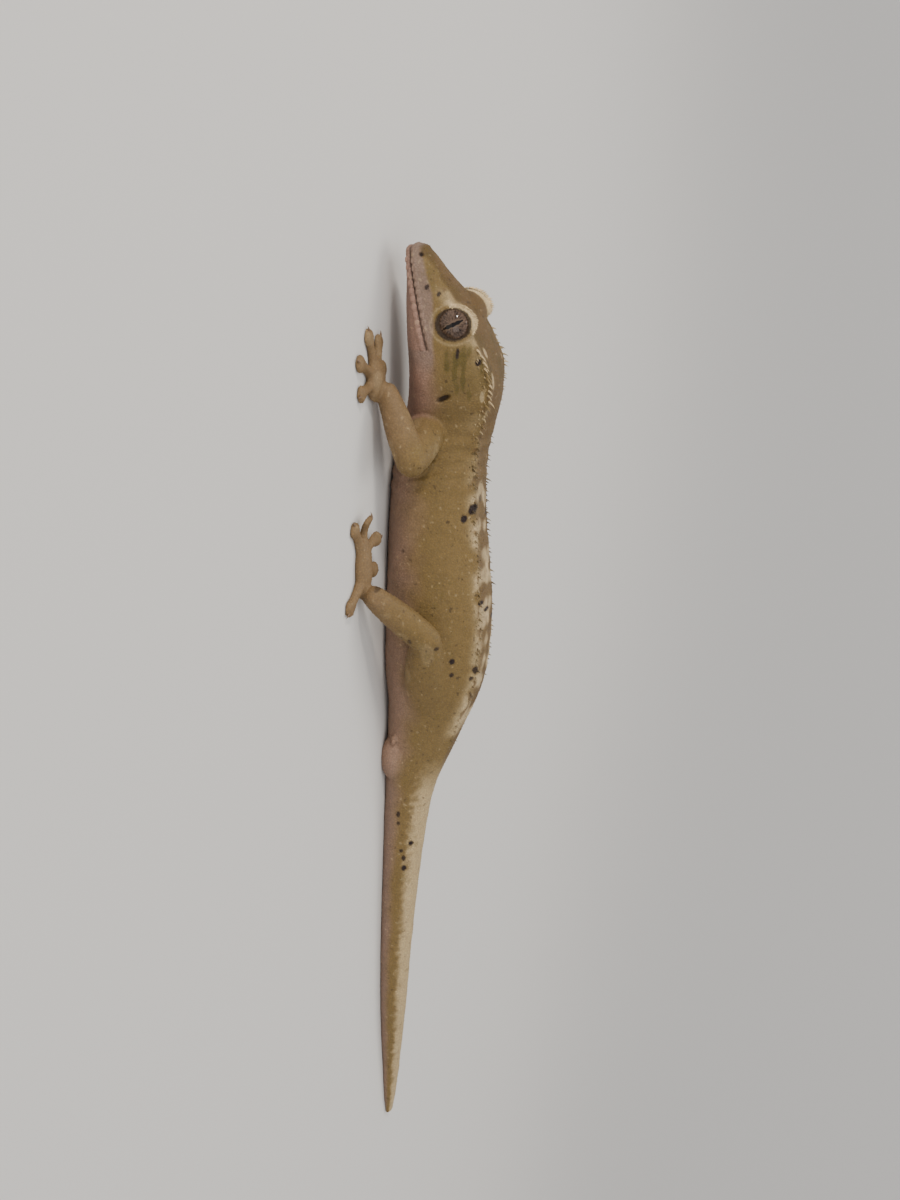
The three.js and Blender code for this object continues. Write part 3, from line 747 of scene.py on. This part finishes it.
def skin_material(name, roughness, gloss):
    """A matte skin with a fine grain and shade painted between its cells."""
    material, shader, tint = tinted_material(name, roughness, gloss)
    nodes, links = material.node_tree.nodes, material.node_tree.links
    place = nodes.new("ShaderNodeTexCoord")
    grain = nodes.new("ShaderNodeTexVoronoi")
    put(grain, {"Scale": 1 / (GRAIN["size"] * MM)})
    links.new(place.outputs["Object"], grain.inputs["Vector"])
    # painted shade: the colour darkens from each cell's middle to its edge
    shade = nodes.new("ShaderNodeMapRange")
    put(shade, {"From Max": GRAIN["reach"], "To Min": GRAIN["middle"], "To Max": GRAIN["edge"]})
    links.new(grain.outputs["Distance"], shade.inputs["Value"])
    mixed = nodes.new("ShaderNodeVectorMath")
    mixed.operation = "SCALE"
    links.new(tint.outputs["Color"], mixed.inputs[0])
    links.new(shade.outputs["Result"], mixed.inputs["Scale"])
    links.new(mixed.outputs["Vector"], shader.inputs["Base Color"])
    relief = nodes.new("ShaderNodeBump")
    relief.invert = True
    put(relief, {"Strength": GRAIN["strength"], "Distance": GRAIN["depth"] * MM})
    links.new(grain.outputs["Distance"], relief.inputs["Height"])
    links.new(relief.outputs["Normal"], shader.inputs["Normal"])
    put(shader, {"Subsurface Weight": SCATTER["share"], "Subsurface Scale": 1.0})
    put(shader, {"Subsurface Radius": SCATTER["radius"]})
    return material


def plain_material(name, roughness, gloss=0.3, coat=0.0):
    """A material with nothing but its own colours."""
    material, shader, tint = tinted_material(name, roughness, gloss)
    material.node_tree.links.new(tint.outputs["Color"], shader.inputs["Base Color"])
    put(shader, {"Coat Weight": coat, "Coat Roughness": COAT_ROUGHNESS})
    return material


skin = make_skin()
shape_skin(skin)
skin_points, skin_normals = points_and_normals(skin.data)
paint(skin.data, colours(skin_points))
skin.data.materials.append(skin_material("skin", 0.62, 0.35))


# Coat: granules, spines, lashes, lip scales and claws. The unwrap is 1 by 1. It has a large cell for the body
# and a small one for each limb, whose second half is for what is high on the limb.
MARGIN = 0.01
BODY_CELL = (0.68, 0.97)
LIMB_CELL = (0.13, 0.24)
LIMB_U = (0.71, 0.855)  # where the cells of the front and hind limbs start
LIMB_V = (MARGIN, 0.505)  # and those of the left and right ones
HIGH_ON_LIMB = 6.3
PATCH = 0.0014  # radius of one form's own patch there


def unwrap(points):
    """The place of each point on the unwrap."""
    s, out = along_and_out(points)
    up = points[:, 2]
    width, side = at(HALF_WIDTH, s), at(SIDE_UP, s)
    round_body = np.arctan2((up - side) / np.maximum(at(TOP, s) - side, 1), out / width) / (2 * np.pi) + 0.5
    u = MARGIN + BODY_CELL[0] * (s - TAIL_TIP) / (SNOUT + 2 - TAIL_TIP)
    v = MARGIN + BODY_CELL[1] * round_body
    limb = np.abs(out) > width + 0.6
    front, left = points[:, 0] > 0, points[:, 1] > 0
    cell_u = np.where(front, *LIMB_U)
    cell_v = np.where(left, *LIMB_V)
    span_x = np.where(front, (points[:, 0] - 10) / 45, (points[:, 0] + 50) / 62)
    span_y = (np.abs(points[:, 1]) - 6) / 36
    u = np.where(limb, cell_u + LIMB_CELL[0] * np.clip(span_x, 0, 1), u)
    v = np.where(limb, cell_v + LIMB_CELL[1] * (np.clip(span_y, 0, 1) + (up > HIGH_ON_LIMB)), v)
    return np.stack([u, v], -1)


def coat(name, roots, forms, tints, material):
    """Many small forms as one mesh, from the vertices of each and the faces that all share."""
    vertices, faces = forms
    count, per = vertices.shape[:2]
    mesh = bpy.data.meshes.new(name)
    all_faces = (faces[None] + (np.arange(count) * per)[:, None, None]).reshape(-1, 3)
    mesh.vertices.add(count * per)
    mesh.vertices.foreach_set("co", (vertices * MM).astype(np.float32).ravel())
    mesh.loops.add(len(all_faces) * 3)
    mesh.loops.foreach_set("vertex_index", all_faces.astype(np.int32).ravel())
    mesh.polygons.add(len(all_faces))
    mesh.polygons.foreach_set("loop_start", np.arange(0, len(all_faces) * 3, 3, dtype=np.int32))
    mesh.update(calc_edges=True)
    mesh.shade_smooth()
    paint(mesh, np.repeat(tints, per, 0))
    layer = mesh.uv_layers.new(name="OFBake")
    centre = unwrap(roots)
    step = np.stack([np.cos(np.arange(per) * 2.4), np.sin(np.arange(per) * 2.4)], -1) * PATCH
    spread = (centre[:, None] + step[None]).reshape(-1, 2)
    layer.data.foreach_set("uv", spread[all_faces.ravel()].astype(np.float32).ravel())
    mesh.materials.append(material)
    return add(name, mesh)


def tangents(normals):
    """Two directions across each normal."""
    helper = np.where(np.abs(normals[:, :1]) < 0.9, [[1.0, 0, 0]], [[0, 1.0, 0]])
    first = unit(np.cross(normals, helper))
    return first, np.cross(normals, first)


def circles(first, second, sides):
    """A circle of points for each pair of directions."""
    angle = np.arange(sides) * 2 * np.pi / sides
    return np.cos(angle)[:, None] * first[:, None] + np.sin(angle)[:, None] * second[:, None]


def stack_faces(sides, steps):
    """Triangles over a stack of rings that ends in a tip."""
    k = np.arange(sides)
    k2 = (k + 1) % sides
    faces = []
    for r in range(steps - 1):
        a, b = r * sides, (r + 1) * sides
        faces += [np.stack([a + k, a + k2, b + k2], -1), np.stack([a + k, b + k2, b + k], -1)]
    last = (steps - 1) * sides
    faces.append(np.stack([last + k, last + k2, np.full(sides, last + sides)], -1))
    return np.concatenate(faces)


rng = np.random.default_rng(7)
COAT_LIMIT = 190000  # triangles in one piece of granules
GRANULE_STEP = 0.6
# A granule's size is a share of the step, and its height runs from least to least and more
GRANULE = {"sides": 6, "size": 0.52, "sunk": 0.05, "least": 0.06, "more": 0.04, "uneven": 0.08}


def spread_roots(points, step):
    """Indices of points that are no nearer to each other than their step."""
    tree = kdtree.KDTree(len(points))
    for i, p in enumerate(points):
        tree.insert(p, i)
    tree.balance()
    covered = np.zeros(len(points), bool)
    chosen = []
    for i in rng.permutation(len(points)):
        if covered[i]:
            continue
        chosen.append(i)
        for _, j, _ in tree.find_range(points[i], step[i]):
            covered[j] = True
    return np.array(chosen)


def granules():
    """Small rounded scales all over the skin."""
    s = along_and_out(skin_points)[0]
    step = GRANULE_STEP * (1 - 0.18 * smooth_step(30, 36, s))  # finer on the head
    index = np.flatnonzero(skin_points[:, 2] > 0.25)  # none on the ground
    picked = index[spread_roots(skin_points[index], step[index])]
    roots, normals, size = skin_points[picked], skin_normals[picked], step[picked] * GRANULE["size"]
    sides = GRANULE["sides"]
    rim = circles(*tangents(normals), sides) * size[:, None, None]
    rim = roots[:, None] + rim - normals[:, None] * GRANULE["sunk"]
    tall = GRANULE["least"] + GRANULE["more"] * rng.random(len(roots))
    peak = roots[:, None] + normals[:, None] * tall[:, None, None]
    vertices, faces = np.concatenate([rim, peak], 1), stack_faces(sides, 1)
    uneven = (1 + GRANULE["uneven"] * rng.standard_normal(len(roots)))[:, None].clip(0.6, 1.5)
    tints = np.clip(colours(roots) * uneven, 0, 1)
    order = np.argsort(roots[:, 0])
    parts = int(np.ceil(len(roots) * sides / COAT_LIMIT))
    material = plain_material("granule", 0.72, gloss=0.22)
    return [
        coat(f"granules_{n}", roots[chunk], (vertices[chunk], faces), tints[chunk], material)
        for n, chunk in enumerate(np.array_split(order, parts))
    ]


SPINE_SIDES, SPINE_STEPS = 7, 4


def spine_forms(roots, directions, lengths, radii, bend):
    """Curved spines that taper to a point."""
    ring = circles(*tangents(directions), SPINE_SIDES)
    rings = []
    for k in range(SPINE_STEPS):
        t = k / SPINE_STEPS
        centre = roots + directions * (lengths * t)[:, None] + bend * (lengths * t * t)[:, None]
        rings.append(centre[:, None] + ring * (radii * (1 - t) ** 0.8)[:, None, None])
    tip = roots + directions * lengths[:, None] + bend * lengths[:, None]
    return np.concatenate(rings + [tip[:, None]], 1), stack_faces(SPINE_SIDES, SPINE_STEPS)


CREST_LENGTH = [(-50, 0.45), (-33, 0.7), (0, 1.0), (21, 1.2), (33, 1.8), (44, 1.7), (55, 0.6)]
CREST_START = -49
# Rows of the crest: angle from its middle, scale, pitch and where the row ends
CREST_ROWS = ((0.0, 1.0, 1.35, 47), (0.09, 0.4, 1.0, 46), (-0.09, 0.4, 1.0, 46))
CREST_SPINE = {"radius": 0.33, "sunk": 0.3, "bend": 0.45}


def crest_spines():
    """Rows of spines along both crests: one tall row, and small ones either side of it."""
    rows = []
    for side in (1, -1):
        for shift, scale, pitch, last in CREST_ROWS:
            s = np.arange(CREST_START, last, pitch)
            s = s + rng.uniform(-0.45, 0.45, len(s))
            corner = crest_angle(s) - shift + rng.uniform(-0.045, 0.045, len(s))
            place = skin_point(s, corner if side > 0 else np.pi - corner)
            direction = unit(place - beside(s, at(CREST_OUT, s) * 0.55 * side, at(TOP, s) - 5))
            root = place - direction * CREST_SPINE["sunk"]
            length = (at(CREST_LENGTH, s) + CREST_SPINE["sunk"]) * scale * rng.uniform(0.6, 1.3, len(s))
            radius = np.full(len(s), CREST_SPINE["radius"] * (0.6 + 0.4 * scale))
            back = beside(s, 0, 0) - beside(s + 1, 0, 0)
            rows.append((root, direction, length, radius, back * CREST_SPINE["bend"]))
    roots, directions, lengths, radii, bends = (np.concatenate(column) for column in zip(*rows))
    pale = np.array(CREAM) * rng.uniform(0.7, 1.05, (len(roots), 1))
    share = np.where(rng.random((len(roots), 1)) < 0.4, 0.85, 0.2) * (0.6 + 0.4 * (lengths[:, None] > 1))
    tint = colours(roots) * (1 - share) + pale * share
    tint *= 0.45 + 0.55 * smooth_step(22, 30, along_and_out(roots)[0])[:, None]
    forms = spine_forms(roots, directions, lengths, radii, bends)
    return coat("crest_spines", roots, forms, tint, plain_material("spine", 0.5))


# Lashes in sets: number, first and last angle, length, and distance out from the ring of the lids
LASH_SETS = [
    (24, -12, 118, 1.0, 0.6), (26, -10, 125, 0.8, 0.2), (26, -5, 180, 0.6, -0.25), (26, 188, 350, 0.35, 0.0),
]


def lashes():
    """Spines that stand over the lids and all round their edge."""
    spines = []
    for side in (1, -1):
        centre, look, forward, upward = eye_frame(side)
        middle = centre + look * LID["offset"]
        for count, low, high, longest, reach in LASH_SETS:
            for i in range(count):
                a = np.radians(low + (high - low) * (i + rng.uniform(-0.2, 0.2)) / (count - 1))
                around = forward * np.cos(a) * LID["narrow"] + upward * np.sin(a)
                root = middle + around * (LID["radius"] + reach) + look * 0.35
                direction = unit(around + look * 0.6 - forward * 0.3)
                size = 0.45 + 0.55 * np.sin(np.pi * (i + 0.5) / count)
                length = longest * size * rng.uniform(0.8, 1.15)
                radius = 0.3 if longest > 0.7 else 0.24
                spines.append((root, direction, length, radius, upward * 0.15 - forward * 0.3))
    roots, *others = (np.array(column) for column in zip(*spines))
    tint = np.array(CREAM) * rng.uniform(0.75, 1.15, (len(roots), 1))
    return coat("lashes", roots, spine_forms(roots, *others), tint, plain_material("lash", 0.5))


def width_at(s, up):
    """Half the width of the head at a height."""
    side, flatness = at(SIDE_UP, s), at(FLATNESS, s)
    reach = np.where(up > side, at(TOP, s) - side, side - at(BOTTOM, s))
    return at(HALF_WIDTH, s) * np.maximum(0, 1 - (np.abs(up - side) / reach) ** flatness) ** (1 / flatness)


# Lip scales: a row over the line of the mouth and one under it. The rings of a plate are shares of its size,
# each with a height over the skin.
LIP_ROWS = (0.8, -0.75)
LIP_PITCH = 1.5
LIP_SIZE = [(42, 0.62), (62, 0.72)]
LIP_RINGS = ((1.0, -0.12), (0.86, 0.05), (0.5, 0.09))
LIP_PEAK = 0.1
LIP_OFF = 0.12
LIP_SIDES = 10


def lip_scales():
    """Plates along both lips."""
    roots, normals, sizes = [], [], []
    for side in (1, -1):
        for above in LIP_ROWS:
            s = np.arange(SNOUT - 1.6, MOUTH_CORNER[0] + 1, -LIP_PITCH)
            up = mouth_up(s) + above
            place = beside(s, side * (width_at(s, up) + LIP_OFF), up)
            nearby = beside(s + 0.2, side * (width_at(s + 0.2, up) + LIP_OFF), up)
            roots.append(place)
            normals.append(unit(np.cross(nearby - place, [0, 0, 1.0]) * -side))
            sizes.append(at(LIP_SIZE, s))
    roots, normals, sizes = np.concatenate(roots), np.concatenate(normals), np.concatenate(sizes)
    ahead = np.cross(np.array([0, 0, 1.0]), normals)
    upward = np.cross(normals, ahead)
    angle = np.arange(LIP_SIDES) * 2 * np.pi / LIP_SIDES
    wide, tall = power(np.cos(angle), 0.6) * 0.98, power(np.sin(angle), 0.6) * 0.82
    plate = (wide[:, None] * ahead[:, None] + tall[:, None] * upward[:, None]) * sizes[:, None, None]
    rings = [roots[:, None] + plate * share + normals[:, None] * height for share, height in LIP_RINGS]
    vertices = np.concatenate(rings + [(roots + normals * LIP_PEAK)[:, None]], 1)
    forms = vertices, stack_faces(LIP_SIDES, len(LIP_RINGS))
    tint = colours(roots) * rng.uniform(0.95, 1.15, (len(roots), 1))
    return coat("lip_scales", roots, forms, tint, plain_material("lip", 0.5))


CLAW = {"length": 1.5, "radius": 0.34, "sunk": 0.5, "up": 0.75, "lift": 0.35, "hook": -0.45}
CLAW_COLOUR = (0.16, 0.10, 0.06)


def claws():
    """A small hooked claw on every toe."""
    roots, directions = [], []
    for places, plan in ((ARMS, HAND), (LEGS, FOOT)):
        for place in places.values():
            for root, tip in paw_places(plan, place):
                ahead = unit((tip - root) * np.array([1, 1, 0]))
                base = tip * np.array([1, 1, 0.95]) + np.array([0, 0, CLAW["up"]])
                roots.append(base - ahead * CLAW["sunk"])
                directions.append(unit(ahead + np.array([0, 0, CLAW["lift"]])))
    roots, directions = np.array(roots), np.array(directions)
    count = len(roots)
    lengths, radii = np.full(count, CLAW["length"]), np.full(count, CLAW["radius"])
    forms = spine_forms(roots, directions, lengths, radii, np.tile([0, 0, CLAW["hook"]], (count, 1)))
    return coat("claws", roots, forms, np.tile(CLAW_COLOUR, (count, 1)), plain_material("claw", 0.3))


# Eyes: iris, slit pupil with a lobed edge, and a wet surface
PUPIL = {"length": 2.35, "width": 0.4, "lean": 24, "lobes": 0.06, "lobe": 0.62}
EYE_GRID = 220
IRIS = (0.080, 0.050, 0.034)
PUPIL_EDGE = (0.17, 0.115, 0.07)
IRIS_RIM = (0.02, 0.012, 0.008)
PUPIL_COLOUR = (0.004, 0.003, 0.003)
EYE_BACK = 0.01
EYE_FINISH = plain_material("eye", 0.25, gloss=0.0, coat=0.8)


def make_eye(name, side):
    """An eyeball whose colours are stored on its surface."""
    centre, look, forward, upward = eye_frame(side)
    polar = np.linspace(0.004, np.pi - 0.01, EYE_GRID)
    around = np.linspace(0, 2 * np.pi, EYE_GRID, endpoint=False)
    x = np.sin(polar)[:, None] * np.cos(around)
    y = np.sin(polar)[:, None] * np.sin(around)
    z = np.cos(polar)[:, None] * np.ones(EYE_GRID)
    grid = x[..., None] * forward + y[..., None] * upward + z[..., None] * look
    vertices, faces = loft(centre + grid * EYE["radius"])
    eye = make_object(name, vertices, faces)
    away = (vertices - centre) / EYE["radius"]
    a, b, c = away @ forward, away @ upward, away @ look
    flat = np.hypot(a, b) * EYE["radius"]
    lean = np.radians(PUPIL["lean"])
    lengthwise = (b * np.cos(lean) + a * np.sin(lean)) * EYE["radius"]
    across = (a * np.cos(lean) - b * np.sin(lean)) * EYE["radius"]
    half = PUPIL["width"] * np.sqrt(np.clip(1 - (lengthwise / PUPIL["length"]) ** 2, 0, 1))
    half += PUPIL["lobes"] * np.cos(lengthwise * np.pi / PUPIL["lobe"])
    pupil = smooth_step(0.06, -0.06, np.abs(across) - half) * (np.abs(lengthwise) < PUPIL["length"])
    spokes = zip(np.arctan2(b, a), flat)
    veins = np.array([noise.noise(Vector((np.cos(t) * 9, np.sin(t) * 9, f * 1.3))) for t, f in spokes])
    net = np.array([noise.noise(Vector(p) * 2.6) for p in vertices])
    colour = np.array(IRIS) * (1 + 0.9 * veins + 0.5 * net)[:, None]
    edge = hump(np.abs(across) - half - 0.16, 0.14)
    colour = mix(colour, PUPIL_EDGE, edge * (np.abs(lengthwise) < PUPIL["length"] + 0.1) * 0.5)
    colour = mix(colour, IRIS_RIM, smooth_step(2.9, 3.5, flat) * 0.92)
    colour = mix(colour, PUPIL_COLOUR, pupil)
    paint(eye.data, np.clip(np.where(c[:, None] > 0, colour, EYE_BACK), 0, 1))
    eye.data.shade_smooth()
    eye.data.materials.append(EYE_FINISH)
    return eye


FLESH = ["head", "jaw", "neck", "torso", "hips", "tail_base", "tail_middle", "tail_tip"]
for name in ("upper_arm", "forearm", "hand", "thigh", "shin", "foot"):
    FLESH += [f"{name}_left", f"{name}_right"]

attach(skin, "root")
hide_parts(*FLESH)
for piece in [*granules(), crest_spines(), lashes(), lip_scales(), claws()]:
    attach(piece, "root")
for side_name, side in (("left", 1), ("right", -1)):
    eye = make_eye(f"eyeball_{side_name}", side)
    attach(eye, "root")
    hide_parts(f"eye_{side_name}")


# Ground and light
FLOOR = {"half": 6.0, "front": 4.0, "back": -0.3, "bend": 2.4, "height": 5.0}  # metres
FLOOR_COLOUR = (0.68, 0.66, 0.63, 1)
SKY_COLOUR = (0.75, 0.75, 0.76, 1)
SKY_STRENGTH = 0.8
LIT = (0, 0, 0.01)  # what the lamps face


def ground():
    """A pale matte floor that curves up into a wall far behind the animal."""
    turns = np.radians(np.linspace(0, 90, 31))
    profile = [(FLOOR["front"], 0.0)]
    profile += [(FLOOR["back"] - FLOOR["bend"] * np.sin(t), FLOOR["bend"] * (1 - np.cos(t))) for t in turns]
    profile.append((FLOOR["back"] - FLOOR["bend"], FLOOR["height"]))
    n = len(profile)
    mesh = bpy.data.meshes.new("ground")
    vertices = [(x, y, z) for x in (-FLOOR["half"], FLOOR["half"]) for y, z in profile]
    mesh.from_pydata(vertices, [], [(i, i + 1, n + i + 1, n + i) for i in range(n - 1)])
    mesh.shade_smooth()
    material = bpy.data.materials.new("ground")
    material.use_nodes = True
    put(material.node_tree.nodes["Principled BSDF"], {"Base Color": FLOOR_COLOUR, "Roughness": 0.9})
    mesh.materials.append(material)
    made = add("ground", mesh)


def light(name, kind, power, facing):
    """A light that shines in a direction."""
    data = bpy.data.lights.new(name, kind)
    data.energy = power
    made = add(name, data)
    made.rotation_euler = facing.to_track_quat("-Z", "Y").to_euler()
    return made


def lamp(name, place, size, watts, colour):
    """A soft square light that faces the animal."""
    made = light(name, "AREA", watts, Vector(LIT) - Vector(place))
    made.data.size = size
    made.data.color = colour
    made.location = place


def sun(name, towards, strength, spread):
    """Even soft light over the whole floor."""
    made = light(name, "SUN", strength, -Vector(towards))
    made.data.angle = np.radians(spread)
    made.visible_glossy = False  # its wide reflection would lie over the pupil


ground()
lamp("key", (0.58, 0.34, 0.28), size=0.09, watts=2.6, colour=(1.0, 0.94, 0.86))
lamp("fill", (-0.35, 0.6, 0.3), size=0.5, watts=1.0, colour=(0.95, 0.97, 1.0))
lamp("back", (0.1, -0.25, 0.55), size=0.35, watts=1.2, colour=(1.0, 0.96, 0.9))
sun("sky", (0.2, 0.7, 0.7), strength=0.95, spread=40)
world = bpy.data.worlds.new("world")
world.use_nodes = True
put(world.node_tree.nodes["Background"], {"Color": SKY_COLOUR, "Strength": SKY_STRENGTH})
bpy.context.scene.world = world
